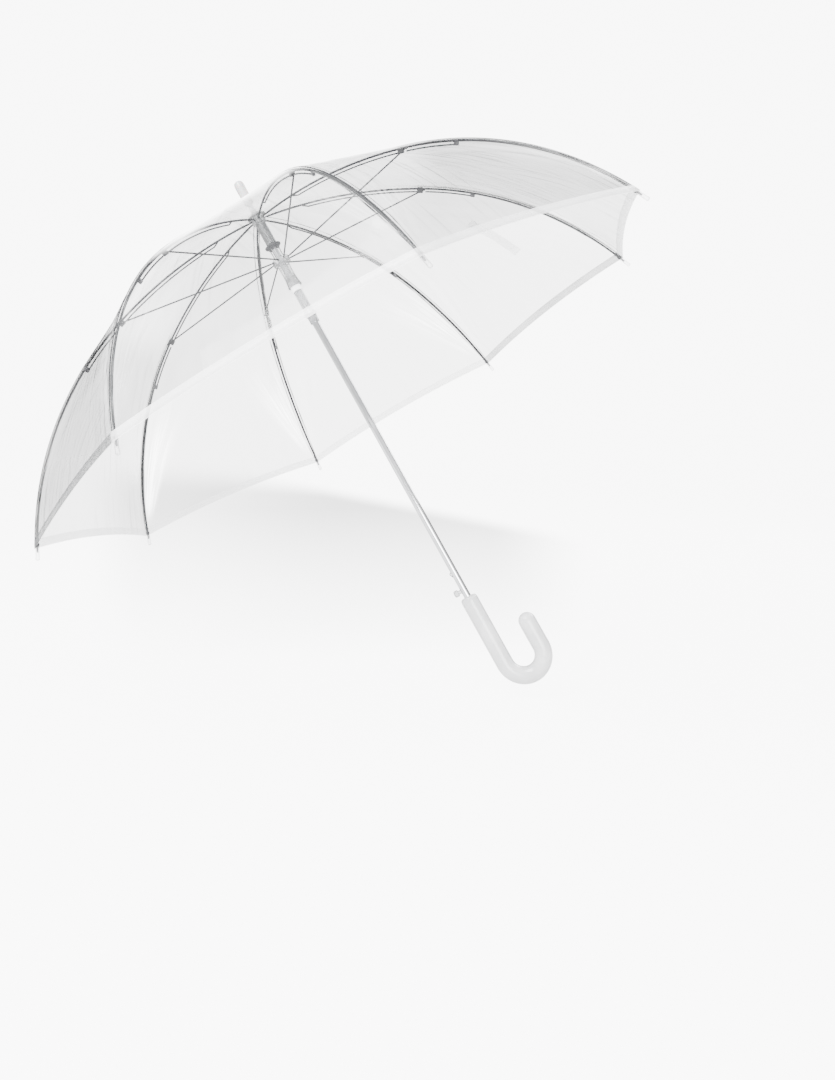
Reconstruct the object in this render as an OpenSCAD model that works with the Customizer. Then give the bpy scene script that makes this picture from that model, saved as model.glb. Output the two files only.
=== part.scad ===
// Clear bubble umbrella with a J handle, shown open. Millimetres.
// +Z runs up the shaft to the ferrule, the hook opens to +X and the push button faces -X.
// The origin is the middle of the straight grip.

/* [Canopy] */
// radius of the circle through the eight rib tips
tip_r = 480; // [460:1:500]
// height of the rib tips
tip_z = 380; // [370:1:390]
// radius at which each stretcher meets its rib
ring_r = 255; // [248:1:260]
// height at which each stretcher meets its rib
ring_z = 616; // [610:1:622]
// bow of the rib between hub and stretcher joint, half its arc angle
inner_bow = 11.5; // [9:0.5:14]
// bow of the rib between stretcher joint and tip, half its arc angle
outer_bow = 21; // [18:0.5:24]
// thickness of the clear film
film_t = 0.8; // [0.6:0.1:1]
// width of the closing strap
strap_w = 16; // [12:1:20]

/* [Shaft] */
// outside diameter of the shaft tube
shaft_d = 10; // [10:0.1:10]
// bore of the shaft tube
shaft_bore = 8.2; // [7.8:0.1:8.4]
// lower end of the tube inside the handle
shaft_z0 = 20; // [16:1:26]
// height of the white end cap's rim
cap_z = 705; // [700:1:708]
// length of the white end cap
cap_len = 40; // [38:1:44]
// diameter of the white end cap
cap_d = 15; // [14:0.5:16]
// diameter of the rod between hub and end cap
neck_d = 8; // [7:0.5:8.5]

/* [Hub] */
// radius of the rib hinges in the top notch
hub_r = 9; // [9:0.1:9]
// height of the rib hinges in the top notch
hub_z = 677; // [677:1:677]
// outside diameter of the main spring
spring_d = 16; // [15:0.5:17]
// length of the main spring with the canopy open
spring_len = 38; // [36:1:40]
// diameter of the spring cup
cup_d = 25; // [22:0.5:25]

/* [Runner] */
// radius of the stretcher hinges in the runner
run_r = 12; // [12:0.1:12]
// height of the stretcher hinges with the canopy open
run_z = 604; // [604:1:604]
// diameter of the slotted ring of the runner
run_ring_d = 26.8; // [26.4:0.2:27]
// diameter of the white ring
white_ring_d = 15; // [14:0.5:16]
// diameter of the lower sleeve
sleeve_d = 13.4; // [13:0.2:14]

/* [Ribs] */
// diameter of the rib rod
rib_d = 2.6; // [2.4:0.1:2.6]
// diameter of the support rod under the rib
support_d = 2; // [1.6:0.1:2]
// distance of the support rod from the rib rod
support_gap = 5; // [4.6:0.1:5.4]
// diameter of the stretcher rod
stretcher_d = 1.8; // [1.6:0.1:1.8]
// sideways offset of the stretcher from its rib
side = 3.5; // [3.5:0.1:3.5]
// diameter of the clear tip cap
tip_cap_d = 5.2; // [5:0.1:5.3]
// length of the tip cap beyond the rib end
tip_cap_len = 16; // [14:1:18]

/* [Handle] */
// diameter of the handle tube
grip_d = 24; // [20:0.5:24]
// upper end of the handle
grip_top = 51; // [49:1:52]
// height at which the hook bend begins
bend_z = -50.5; // [-54:0.5:-48]
// radius of the hook bend, to the middle of the tube
bend_r = 27.5; // [26:0.5:30]
// length of the free leg of the hook above the bend, with its round end
leg_len = 48; // [44:1:52]
// diameter of the push button
button_d = 9.2; // [8.6:0.2:9.6]

/* [Hidden] */
$fn = 64;
step = 45;
half = step/2;
first_az = -112.5;
c = cos(half);
pin_r = 0.5;
eye_bore = 0.55;
eye_r = 1.8;
film_in = 3;

A = [hub_r, hub_z];
B = [ring_r, ring_z];
T = [tip_r, tip_z];

// a point given by radius and height, seen in the middle plane of a gore
function mid(p) = [p[0]*c, p[1]];
// arc of half angle a over the chord from p to q, bowed outwards: [centre, radius, lower end angle, span]
function arc(p, q, a) =
  let (d = q - p, L = norm(d), u = d/L, n = [u[1], -u[0]], rho = L/(2*sin(a)),
       m = (p + q)/2, cc = m + n*rho*cos(a), e = q - cc)
  [cc, rho, atan2(e[1], e[0]), 2*a];
// arc through three points
function arc3(p, m, q) =
  let (ch = norm(q - p)/2, s = norm(m - (p + q)/2))
  arc(p, q, 2*atan(s/ch));
// point on an arc, measured in degrees from its lower end
function on(g, a) = g[0] + g[1]*[cos(g[2] + a), sin(g[2] + a)];

rib_a = arc(A, B, inner_bow);
rib_b = arc(B, T, outer_bow);
gore_a = arc3(mid(A), mid(on(rib_a, inner_bow)), mid(B));
gore_b = arc3(mid(B), mid(on(rib_b, outer_bow)), mid(T));

steel = [0.42, 0.43, 0.45];
chrome = [0.78, 0.79, 0.8];
clear = [0.85, 0.88, 0.9, 0.4];
film = [0.9, 0.93, 0.95, 0.3];
milky = [0.93, 0.93, 0.94];
black = [0.12, 0.12, 0.13];

// children placed in the vertical plane of rib k, which becomes the XZ plane
module rib_plane(k) { rotate([0, 0, first_az - step*(k - 1)]) children(); }

// rod along part of an arc, from angle a0 to a1 measured from the arc's lower end, shifted outwards by off
module arc_rod(g, r, a0, a1, off = 0) {
  translate([g[0][0], 0, g[0][1]]) rotate([90, 0, 0]) rotate([0, 0, g[2] + a0])
    rotate_extrude(angle = a1 - a0) translate([g[1] + off, 0]) circle(r = r, $fn = 24);
}

// short cylinder across the rib plane, centred at p and at sideways distance y
module across(p, r, w, y = 0) {
  translate([p[0], y - w/2, p[1]]) rotate([-90, 0, 0]) cylinder(r = r, h = w, $fn = 32);
}

// half of a film section: the band over the arc, on one side of the rib
module film_half(g, a0, a1, sgn) {
  rotate([0, 0, sgn*half]) intersection() {
    translate([0, sgn > 0 ? -260 : 0, 0]) translate([0, 260, 0]) rotate([90, 0, 0]) linear_extrude(height = 260)
      intersection() {
        translate(g[0]) difference() {
          circle(r = g[1] + film_in + film_t, $fn = 180);
          circle(r = g[1] + film_in, $fn = 180);
        }
        translate(g[0]) polygon([[0, 0],
          [900*cos(g[2] + a0), 900*sin(g[2] + a0)],
          [900*cos(g[2] + a1), 900*sin(g[2] + a1)]]);
      }
    // plan wedge from the rib plane to just short of the middle of the gore
    translate([0, 0, tip_z - 60]) linear_extrude(height = hub_z - tip_z + 120)
      polygon([[0.25/tan(half), -sgn*0.25], [700, -sgn*0.25], [700*cos(half), -sgn*700*sin(half)]]);
  }
}

module film_section(g, a0, a1) {
  union() {
    film_half(g, a0, a1, 1);
    film_half(g, a0, a1, -1);
  }
}

module rib_inner_shape() {
  s = 180/PI/rib_a[1];
  difference() {
    union() {
      arc_rod(rib_a, rib_d/2, s*1.0, 2*inner_bow);
      across(A, eye_r, 2);
      // support rod
      arc_rod(rib_a, support_d/2, s*2.0, 2*inner_bow - s*62, -support_gap);
      // foot joining support rod and rib near the hub
      translate([on(rib_a, 2*inner_bow - s*62)[0], 0, on(rib_a, 2*inner_bow - s*62)[1]])
        rotate([0, 90 - (rib_a[2] + 2*inner_bow - s*62), 0]) translate([0, 0, -support_gap]) cylinder(r = 0.9, h = support_gap, $fn = 24);
      // clip that holds both rods at the stretcher joint
      translate([on(rib_a, s*6.5)[0], 0, on(rib_a, s*6.5)[1]])
        rotate([0, 90 - (rib_a[2] + s*6.5), 0]) translate([-4.2, -1.9, -support_gap - 1.7]) cube([8.4, 3.8, support_gap + 3.2]);
      // ear and rivet for the stretcher
      translate([ring_r, 0, ring_z]) rotate([0, 90 - (rib_a[2] + s*2), 0]) translate([-8, 1.7, -2.2]) cube([10, 0.6, 3.8]);
      across(B, pin_r, 3.2, 3.5);
      across(B, 1.1, 0.5, 4.95);
    }
    across(A, eye_bore, 4);
  }
}

module rib_outer_shape() {
  s = 180/PI/rib_b[1];
  end = 2*outer_bow;
  arc_rod(rib_b, rib_d/2, 0, end - s*1.0);
  // end of the support rod, clamped to the rib
  arc_rod(rib_b, support_d/2, end - s*78, end - s*2.0, -support_gap);
  translate([on(rib_b, end - s*77)[0], 0, on(rib_b, end - s*77)[1]])
    rotate([0, 90 - (rib_b[2] + end - s*77), 0]) translate([-3.5, -1.5, -support_gap - 1.2]) cube([7, 3, support_gap + 2.4]);
}

module tip_cap_shape() {
  t = rib_b[2] - 90;
  translate([tip_r, 0, tip_z]) rotate([0, 90 - t, 0]) difference() {
    union() {
      translate([0, 0, -7]) cylinder(d = tip_cap_d - 1.2, h = 5.2, $fn = 32);
      translate([0, 0, -2]) cylinder(d = tip_cap_d, h = tip_cap_len + 2 - tip_cap_d/2, $fn = 32);
      translate([0, 0, tip_cap_len - tip_cap_d/2]) sphere(d = tip_cap_d, $fn = 32);
    }
    translate([0, 0, -8]) cylinder(r = rib_d/2 + 0.15, h = 8.6, $fn = 32);
  }
}

module stretcher_shape() {
  L = norm([ring_r - run_r, ring_z - run_z]);
  tilt = atan2(ring_z - run_z, ring_r - run_r);
  translate([run_r, side, run_z]) rotate([0, -tilt, 0]) difference() {
    union() {
      translate([1.2, 0, 0]) rotate([0, 90, 0]) cylinder(d = stretcher_d, h = L - 2.4, $fn = 24);
      for (x = [0, L]) translate([x, -0.8, 0]) rotate([-90, 0, 0]) cylinder(r = eye_r, h = 1.6, $fn = 32);
    }
    for (x = [0, L]) translate([x, -2, 0]) rotate([-90, 0, 0]) cylinder(r = eye_bore, h = 4, $fn = 32);
  }
}

module canopy_inner_shape() {
  s = 180/PI/gore_a[1];
  film_section(gore_a, s*0.2, 2*asin(norm(mid(B) - mid(A))/2/gore_a[1]) - s*5);
}
module canopy_outer_shape() {
  s = 180/PI/gore_b[1];
  film_section(gore_b, 0, 2*asin(norm(mid(T) - mid(B))/2/gore_b[1]) - s*0.2);
}

module shaft() {
  color(chrome) difference() {
    union() {
      translate([0, 0, shaft_z0]) cylinder(d = shaft_d, h = 686 - shaft_z0);
      translate([0, 0, 685]) cylinder(d = neck_d, h = cap_z + cap_len - 8 - 685);
    }
    translate([0, 0, shaft_z0 - 1]) cylinder(d = shaft_bore, h = 680 - shaft_z0);
    // slot for the closing catch
    translate([-8, -1.6, 79]) cube([8, 3.2, 16]);
    // hole for the push button
    translate([-8, 0, 62]) rotate([0, 90, 0]) cylinder(r = 3, h = 8, $fn = 32);
  }
}

module handle() {
  color(milky) difference() {
    union() {
      // straight grip with a rounded shoulder
      translate([0, 0, bend_z]) cylinder(d = grip_d, h = grip_top - 3 - bend_z);
      translate([0, 0, grip_top - 3]) cylinder(d1 = grip_d, d2 = grip_d - 4, h = 3);
      // hook bend
      translate([bend_r, 0, bend_z]) rotate([90, 0, 0]) rotate([0, 0, 180])
        rotate_extrude(angle = 180) translate([bend_r, 0]) circle(d = grip_d);
      // free leg with a round end
      translate([2*bend_r, 0, bend_z]) cylinder(d = grip_d, h = leg_len - grip_d/2);
      translate([2*bend_r, 0, bend_z + leg_len - grip_d/2]) sphere(d = grip_d);
    }
    translate([0, 0, shaft_z0 - 0.5]) cylinder(d = shaft_d + 0.04, h = 60);
  }
}

module ferrule_cap() {
  color(milky) difference() {
    union() {
      translate([0, 0, cap_z]) cylinder(d = cap_d, h = cap_len - 5);
      translate([0, 0, cap_z + cap_len - 5]) cylinder(d1 = cap_d, d2 = cap_d - 2.4, h = 3.4);
      translate([0, 0, cap_z + cap_len - 1.6]) cylinder(d1 = cap_d - 2.4, d2 = cap_d - 5.6, h = 1.6);
    }
    translate([0, 0, cap_z - 1]) cylinder(d = neck_d + 0.04, h = cap_len - 6);
  }
}

module top_notch() {
  color(clear) {
    difference() {
      union() {
        translate([0, 0, 670.6]) cylinder(d = 21, h = 10.8);
        translate([0, 0, 681.2]) cylinder(d = 28, h = 1.8);
        translate([0, 0, 682.8]) cylinder(d1 = 20, d2 = 13, h = 5.2);
      }
      translate([0, 0, 665]) cylinder(d = shaft_d + 0.04, h = 21.1);
      translate([0, 0, 686]) cylinder(d = neck_d + 0.1, h = 4);
      for (k = [1:8]) rib_plane(k) translate([6.4, -1.4, 668]) cube([12, 2.8, 11]);
    }
    for (k = [1:8]) rib_plane(k) across(A, pin_r, 5, 0);
  }
}

module main_spring() {
  // closed coils drawn as one ribbed sleeve
  n = 19;
  p = spring_len/n;
  color(steel) translate([0, 0, 670.2 - spring_len]) rotate_extrude()
    polygon(concat([[spring_d/2 - 2.2, 0]],
      [for (i = [0:n - 1], j = [0, 1]) [spring_d/2 - (j == 0 ? 0.9 : 0), p*(i + 0.5*j)]],
      [[spring_d/2 - 0.9, spring_len], [spring_d/2 - 2.2, spring_len]]));
}

module spring_cup() {
  z = 670.2 - spring_len - 0.4;
  color(black) {
    difference() {
      union() {
        translate([0, 0, z - 3]) cylinder(d = cup_d, h = 3);
        translate([0, 0, z - 7]) cylinder(d1 = 17, d2 = cup_d - 3, h = 4.2);
      }
      translate([0, 0, z - 9]) cylinder(r = shaft_d/2 + 0.06, h = 12);
    }
    // guide wires under the cup
    for (k = [1:8]) rib_plane(k) translate([7.4, 0, z - 22]) cylinder(r = 0.5, h = 16, $fn = 16);
  }
}

module runner() {
  color(clear) {
    difference() {
      union() {
        translate([0, 0, 599]) cylinder(d = run_ring_d, h = 8.6);
        translate([0, 0, 595]) cylinder(d1 = 17, d2 = run_ring_d, h = 4.2);
        translate([0, 0, 563]) cylinder(d1 = 16, d2 = 18, h = 32.4);
        translate([0, 0, 559.4]) cylinder(d1 = 20.5, d2 = 17, h = 5);
      }
      translate([0, 0, 550]) cylinder(r = shaft_d/2 + 0.06, h = 60);
      translate([0, 0, 600.5]) cylinder(r = 9.3, h = 10);
      for (k = [1:8]) rib_plane(k) translate([8.6, side - 1.4, 601]) cube([8, 2.8, 10]);
    }
    for (k = [1:8]) rib_plane(k) across([run_r, run_z], pin_r, 5, side);
  }
}

module runner_ring() {
  color(milky) difference() {
    translate([0, 0, 551.6]) cylinder(d = white_ring_d, h = 7.6);
    translate([0, 0, 550]) cylinder(r = shaft_d/2 + 0.5, h = 12);
  }
}

module runner_sleeve() {
  color(chrome) difference() {
    union() {
      translate([0, 0, 497]) cylinder(d = 12.6, h = 12);
      translate([0, 0, 507]) cylinder(d1 = 12.6, d2 = 17, h = 4);
      translate([0, 0, 510.8]) cylinder(d1 = 17, d2 = sleeve_d, h = 8);
      translate([0, 0, 518]) cylinder(d = sleeve_d, h = 33.4);
    }
    translate([0, 0, 490]) cylinder(r = shaft_d/2 + 0.06, h = 70);
    // window that the catch drops into
    translate([-12, -1.9, 502]) cube([12, 3.8, 20]);
  }
}

module push_button() {
  color(clear) translate([0, 0, 62]) rotate([0, 90, 0]) {
    translate([0, 0, -15]) cylinder(d1 = button_d - 1.6, d2 = button_d, h = 1);
    translate([0, 0, -14.05]) cylinder(d = button_d, h = 5.05, $fn = 48);
    translate([0, 0, -9.2]) cylinder(r = 2.6, h = 5.25, $fn = 32);
  }
}

module catch_spring() {
  color(steel) {
    translate([-3.6, -1.1, 45]) cube([0.6, 2.2, 49]);
    translate([-3.3, 1.1, 82]) rotate([90, 0, 0]) linear_extrude(height = 2.2)
      polygon([[0, 0], [-3.9, 6], [-3.9, 7.5], [0, 9.5]]);
  }
}

module closure_strap() {
  s = 180/PI/gore_b[1];
  m = 2*asin(norm(mid(T) - mid(B))/2/gore_b[1]);
  color(milky) rib_plane(6) rotate([0, 0, half]) {
    translate([0, -60 + strap_w/2, 0]) rotate([90, 0, 0]) linear_extrude(height = strap_w) intersection() {
      translate(gore_b[0]) difference() {
        circle(r = gore_b[1] + film_in + film_t + 1, $fn = 180);
        circle(r = gore_b[1] + film_in + film_t + 0.2, $fn = 180);
      }
      translate(gore_b[0]) polygon([[0, 0],
        [900*cos(gore_b[2] + m*0.36), 900*sin(gore_b[2] + m*0.36)],
        [900*cos(gore_b[2] + m*0.66), 900*sin(gore_b[2] + m*0.66)]]);
    }
    // snap
    translate([gore_b[0][0], -60, gore_b[0][1]]) rotate([0, 90 - (gore_b[2] + m*0.39), 0])
      translate([0, 0, gore_b[1] + film_in + film_t + 0.8]) cylinder(r = 4.2, h = 1.8, $fn = 32);
  }
}

module rib_inner_1() { color(steel) rib_plane(1) rib_inner_shape(); }
module rib_inner_2() { color(steel) rib_plane(2) rib_inner_shape(); }
module rib_inner_3() { color(steel) rib_plane(3) rib_inner_shape(); }
module rib_inner_4() { color(steel) rib_plane(4) rib_inner_shape(); }
module rib_inner_5() { color(steel) rib_plane(5) rib_inner_shape(); }
module rib_inner_6() { color(steel) rib_plane(6) rib_inner_shape(); }
module rib_inner_7() { color(steel) rib_plane(7) rib_inner_shape(); }
module rib_inner_8() { color(steel) rib_plane(8) rib_inner_shape(); }
module rib_outer_1() { color(steel) rib_plane(1) rib_outer_shape(); }
module rib_outer_2() { color(steel) rib_plane(2) rib_outer_shape(); }
module rib_outer_3() { color(steel) rib_plane(3) rib_outer_shape(); }
module rib_outer_4() { color(steel) rib_plane(4) rib_outer_shape(); }
module rib_outer_5() { color(steel) rib_plane(5) rib_outer_shape(); }
module rib_outer_6() { color(steel) rib_plane(6) rib_outer_shape(); }
module rib_outer_7() { color(steel) rib_plane(7) rib_outer_shape(); }
module rib_outer_8() { color(steel) rib_plane(8) rib_outer_shape(); }
module tip_cap_1() { color(clear) rib_plane(1) tip_cap_shape(); }
module tip_cap_2() { color(clear) rib_plane(2) tip_cap_shape(); }
module tip_cap_3() { color(clear) rib_plane(3) tip_cap_shape(); }
module tip_cap_4() { color(clear) rib_plane(4) tip_cap_shape(); }
module tip_cap_5() { color(clear) rib_plane(5) tip_cap_shape(); }
module tip_cap_6() { color(clear) rib_plane(6) tip_cap_shape(); }
module tip_cap_7() { color(clear) rib_plane(7) tip_cap_shape(); }
module tip_cap_8() { color(clear) rib_plane(8) tip_cap_shape(); }
module stretcher_1() { color(steel) rib_plane(1) stretcher_shape(); }
module stretcher_2() { color(steel) rib_plane(2) stretcher_shape(); }
module stretcher_3() { color(steel) rib_plane(3) stretcher_shape(); }
module stretcher_4() { color(steel) rib_plane(4) stretcher_shape(); }
module stretcher_5() { color(steel) rib_plane(5) stretcher_shape(); }
module stretcher_6() { color(steel) rib_plane(6) stretcher_shape(); }
module stretcher_7() { color(steel) rib_plane(7) stretcher_shape(); }
module stretcher_8() { color(steel) rib_plane(8) stretcher_shape(); }
module canopy_inner_1() { color(film) rib_plane(1) canopy_inner_shape(); }
module canopy_inner_2() { color(film) rib_plane(2) canopy_inner_shape(); }
module canopy_inner_3() { color(film) rib_plane(3) canopy_inner_shape(); }
module canopy_inner_4() { color(film) rib_plane(4) canopy_inner_shape(); }
module canopy_inner_5() { color(film) rib_plane(5) canopy_inner_shape(); }
module canopy_inner_6() { color(film) rib_plane(6) canopy_inner_shape(); }
module canopy_inner_7() { color(film) rib_plane(7) canopy_inner_shape(); }
module canopy_inner_8() { color(film) rib_plane(8) canopy_inner_shape(); }
module canopy_outer_1() { color(film) rib_plane(1) canopy_outer_shape(); }
module canopy_outer_2() { color(film) rib_plane(2) canopy_outer_shape(); }
module canopy_outer_3() { color(film) rib_plane(3) canopy_outer_shape(); }
module canopy_outer_4() { color(film) rib_plane(4) canopy_outer_shape(); }
module canopy_outer_5() { color(film) rib_plane(5) canopy_outer_shape(); }
module canopy_outer_6() { color(film) rib_plane(6) canopy_outer_shape(); }
module canopy_outer_7() { color(film) rib_plane(7) canopy_outer_shape(); }
module canopy_outer_8() { color(film) rib_plane(8) canopy_outer_shape(); }

shaft();
handle();
ferrule_cap();
top_notch();
main_spring();
spring_cup();
runner();
runner_ring();
runner_sleeve();
push_button();
catch_spring();
closure_strap();
rib_inner_1();
rib_inner_2();
rib_inner_3();
rib_inner_4();
rib_inner_5();
rib_inner_6();
rib_inner_7();
rib_inner_8();
rib_outer_1();
rib_outer_2();
rib_outer_3();
rib_outer_4();
rib_outer_5();
rib_outer_6();
rib_outer_7();
rib_outer_8();
tip_cap_1();
tip_cap_2();
tip_cap_3();
tip_cap_4();
tip_cap_5();
tip_cap_6();
tip_cap_7();
tip_cap_8();
stretcher_1();
stretcher_2();
stretcher_3();
stretcher_4();
stretcher_5();
stretcher_6();
stretcher_7();
stretcher_8();
canopy_inner_1();
canopy_inner_2();
canopy_inner_3();
canopy_inner_4();
canopy_inner_5();
canopy_inner_6();
canopy_inner_7();
canopy_inner_8();
canopy_outer_1();
canopy_outer_2();
canopy_outer_3();
canopy_outer_4();
canopy_outer_5();
canopy_outer_6();
canopy_outer_7();
canopy_outer_8();
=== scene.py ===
import math

import bpy
import numpy as np
from mathutils import Matrix, Vector


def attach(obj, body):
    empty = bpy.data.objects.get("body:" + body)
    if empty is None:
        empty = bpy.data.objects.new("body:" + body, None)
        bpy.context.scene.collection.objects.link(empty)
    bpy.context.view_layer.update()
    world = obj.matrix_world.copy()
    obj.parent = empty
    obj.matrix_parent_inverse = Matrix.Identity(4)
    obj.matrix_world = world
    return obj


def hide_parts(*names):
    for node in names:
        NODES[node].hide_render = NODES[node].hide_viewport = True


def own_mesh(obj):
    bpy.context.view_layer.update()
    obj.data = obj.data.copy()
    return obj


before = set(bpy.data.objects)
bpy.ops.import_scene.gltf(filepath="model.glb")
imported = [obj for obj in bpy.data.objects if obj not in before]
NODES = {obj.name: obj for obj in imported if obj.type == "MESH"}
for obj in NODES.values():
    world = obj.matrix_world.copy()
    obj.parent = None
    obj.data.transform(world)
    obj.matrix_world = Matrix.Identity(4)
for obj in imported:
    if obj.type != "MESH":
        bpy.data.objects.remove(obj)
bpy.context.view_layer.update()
MM = 0.001


# ---------------------------------------------------------------- geometry of the frame, in mm
HALF = 22.5
CH = math.cos(math.radians(HALF))
A, B, T = (9.0, 677.0), (255.0, 616.0), (480.0, 380.0)
RUN = (12.0, 604.0)
FILM_OFF = 3.4
FLOOR_GLOW = 8.2


def az(k):
    return math.radians(-112.5 - 45.0 * (k - 1))


def arc(p, q, bow):
    """(centre r, centre z, radius, lower end angle, span) of the arc over the chord p to q."""
    dx, dz = q[0] - p[0], q[1] - p[1]
    length = math.hypot(dx, dz)
    ux, uz = dx / length, dz / length
    rho = length / (2 * math.sin(math.radians(bow)))
    cx = (p[0] + q[0]) / 2 + uz * rho * math.cos(math.radians(bow))
    cz = (p[1] + q[1]) / 2 - ux * rho * math.cos(math.radians(bow))
    return cx, cz, rho, math.atan2(q[1] - cz, q[0] - cx), math.radians(2 * bow)


ARC_A, ARC_B = arc(A, B, 11.5), arc(B, T, 21.0)
LEN_A, LEN_B = ARC_A[2] * ARC_A[4], ARC_B[2] * ARC_B[4]


def rib_rz(t, off=0.0):
    """Point of the rib's line in its own plane: t 0 at the hub, 1 at the stretcher joint, 2 at the tip, moved outwards by off."""
    g, f = (ARC_A, t) if t <= 1 else (ARC_B, t - 1)
    a = g[3] + g[4] * (1 - f)
    return g[0] + (g[2] + off) * math.cos(a), g[1] + (g[2] + off) * math.sin(a)


def rib_dir(t):
    """Unit direction along the rib, towards the tip."""
    g, f = (ARC_A, t) if t <= 1 else (ARC_B, t - 1)
    a = g[3] + g[4] * (1 - f)
    return math.sin(a), -math.cos(a)


def at_rib(k, r, z, side=0.0):
    """Row-frame point in metres from a point of rib k's plane."""
    c, s = math.cos(az(k)), math.sin(az(k))
    return Vector(((r * c - side * s) * MM, (r * s + side * c) * MM, z * MM))


def film_pt(k, t, w, side, off=FILM_OFF):
    """Point of the film: w 0 on rib k, 0.5 in the middle of the gore on that side (+1 or -1)."""
    r, z = rib_rz(t, off)
    a0, a1 = az(k), az(k) + side * math.radians(45)
    p0 = np.array([r * math.cos(a0), r * math.sin(a0)])
    p1 = np.array([r * math.cos(a1), r * math.sin(a1)])
    p = p0 * (1 - w) + p1 * w
    hump = 4 * w * (1 - w)
    # the stretched film dips a little between the ribs
    dip = (1.4 * math.sin(math.pi * min(1, t)) if t <= 1 else 4.5 * math.sin(math.pi * (t - 1)) ** 1.2) * hump
    d = rib_dir(t)
    n = np.array([-d[1], d[0]])  # outwards in the gore's own plane
    am = az(k) + side * math.radians(HALF)
    # fine tension folds that fan out from the tip and die out before the next rib
    if t > 1:
        dist = (2 - t) * LEN_B
        across = w * 2 * r * math.sin(math.radians(HALF))
        theta = math.atan2(across, dist + 22.0)
        phase = 1.7 * k + 0.9 * side
        fold = (
            math.sin(theta * 46 + phase) * math.exp(-((theta - 0.16) / 0.13) ** 2)
            + 0.5 * math.sin(theta * 83 + 2 * phase) * math.exp(-((theta - 0.1) / 0.09) ** 2)
        )
        fade = min(1.0, w / 0.04) * (1 - (w / 0.5) ** 2) * min(1.0, dist / 60.0) ** 2 * min(1.0, (t - 1) * 6)
        dip += 1.1 * fold * fade
    x, y = p[0] - n[0] * dip * math.cos(am), p[1] - n[0] * dip * math.sin(am)
    return Vector((x * MM, y * MM, (z - n[1] * dip) * MM))


# ---------------------------------------------------------------- mesh helpers
def make(name, verts, faces, mat, smooth=True, uv=None):
    me = bpy.data.meshes.new(name)
    me.from_pydata([tuple(v) for v in verts], [], faces)
    me.validate()
    me.polygons.foreach_set("use_smooth", [smooth] * len(me.polygons))
    if uv is not None:
        layer = me.uv_layers.new(name="UVMap")
        for loop in me.loops:
            layer.data[loop.index].uv = uv[loop.vertex_index]
    me.materials.append(mat)
    me.update()
    o = bpy.data.objects.new(name, me)
    bpy.context.scene.collection.objects.link(o)
    return o


def grid_faces(nu, nv, closed_u=False, base=0):
    out = []
    for i in range(nu if closed_u else nu - 1):
        for j in range(nv - 1):
            a = base + i * nv + j
            b = base + ((i + 1) % nu) * nv + j
            out.append((a, b, b + 1, a + 1))
    return out


def lathe(name, profile, mat, place=Matrix.Identity(4), segs=64, smooth_angle=35):
    """Turned piece: profile is (radius, height) in mm, from the bottom of the outside round to the inside."""
    verts, uv = [], []
    n = len(profile)
    for i in range(segs):
        a = 2 * math.pi * i / segs
        for j, (r, z) in enumerate(profile):
            verts.append(place @ Vector((r * math.cos(a) * MM, r * math.sin(a) * MM, z * MM)))
            uv.append((i / segs, z * MM))
    faces = grid_faces(segs, n, True)
    o = make(name, verts, faces, mat, True, uv)
    merge(o)
    crease(o, smooth_angle)
    return o


def merge(o, dist=1e-6):
    import bmesh

    bm = bmesh.new()
    bm.from_mesh(o.data)
    bmesh.ops.remove_doubles(bm, verts=bm.verts, dist=dist)
    bmesh.ops.recalc_face_normals(bm, faces=bm.faces)
    bm.to_mesh(o.data)
    bm.free()


def crease(o, degrees):
    import bmesh

    bm = bmesh.new()
    bm.from_mesh(o.data)
    for e in bm.edges:
        if len(e.link_faces) == 2 and e.calc_face_angle(0) > math.radians(degrees):
            e.smooth = False
    bm.to_mesh(o.data)
    bm.free()


def tube(name, pts, radius, mat, segs=14, closed=False, caps=True, flat=None):
    """Round bar along pts (row frame, metres). radius in mm, one value or one per point. flat is not used."""
    pts = [Vector(p) for p in pts]
    n = len(pts)
    rad = [radius] * n if not hasattr(radius, "__len__") else radius
    tans = []
    for i in range(n):
        a = pts[(i - 1) % n] if closed or i > 0 else pts[i]
        b = pts[(i + 1) % n] if closed or i < n - 1 else pts[i]
        tans.append((b - a).normalized())
    up = Vector((0, 0, 1)) if abs(tans[0].z) < 0.9 else Vector((1, 0, 0))
    nrm = (up - tans[0] * up.dot(tans[0])).normalized()
    verts = []
    uv = []
    run = 0.0
    for i in range(n):
        nrm = (nrm - tans[i] * nrm.dot(tans[i])).normalized()
        bi = tans[i].cross(nrm)
        if i:
            run += (pts[i] - pts[i - 1]).length
        for j in range(segs):
            a = 2 * math.pi * j / segs
            verts.append(pts[i] + (nrm * math.cos(a) + bi * math.sin(a)) * rad[i] * MM)
            uv.append((j / segs, run))
    faces = []
    for i in range(n if closed else n - 1):
        for j in range(segs):
            a = i * segs + j
            b = i * segs + (j + 1) % segs
            c = ((i + 1) % n) * segs + (j + 1) % segs
            d = ((i + 1) % n) * segs + j
            faces.append((a, b, c, d))
    if caps and not closed:
        faces.append(tuple(range(segs - 1, -1, -1)))
        faces.append(tuple((n - 1) * segs + j for j in range(segs)))
    o = make(name, verts, faces, mat, True, uv)
    crease(o, 60)
    return o


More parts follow.
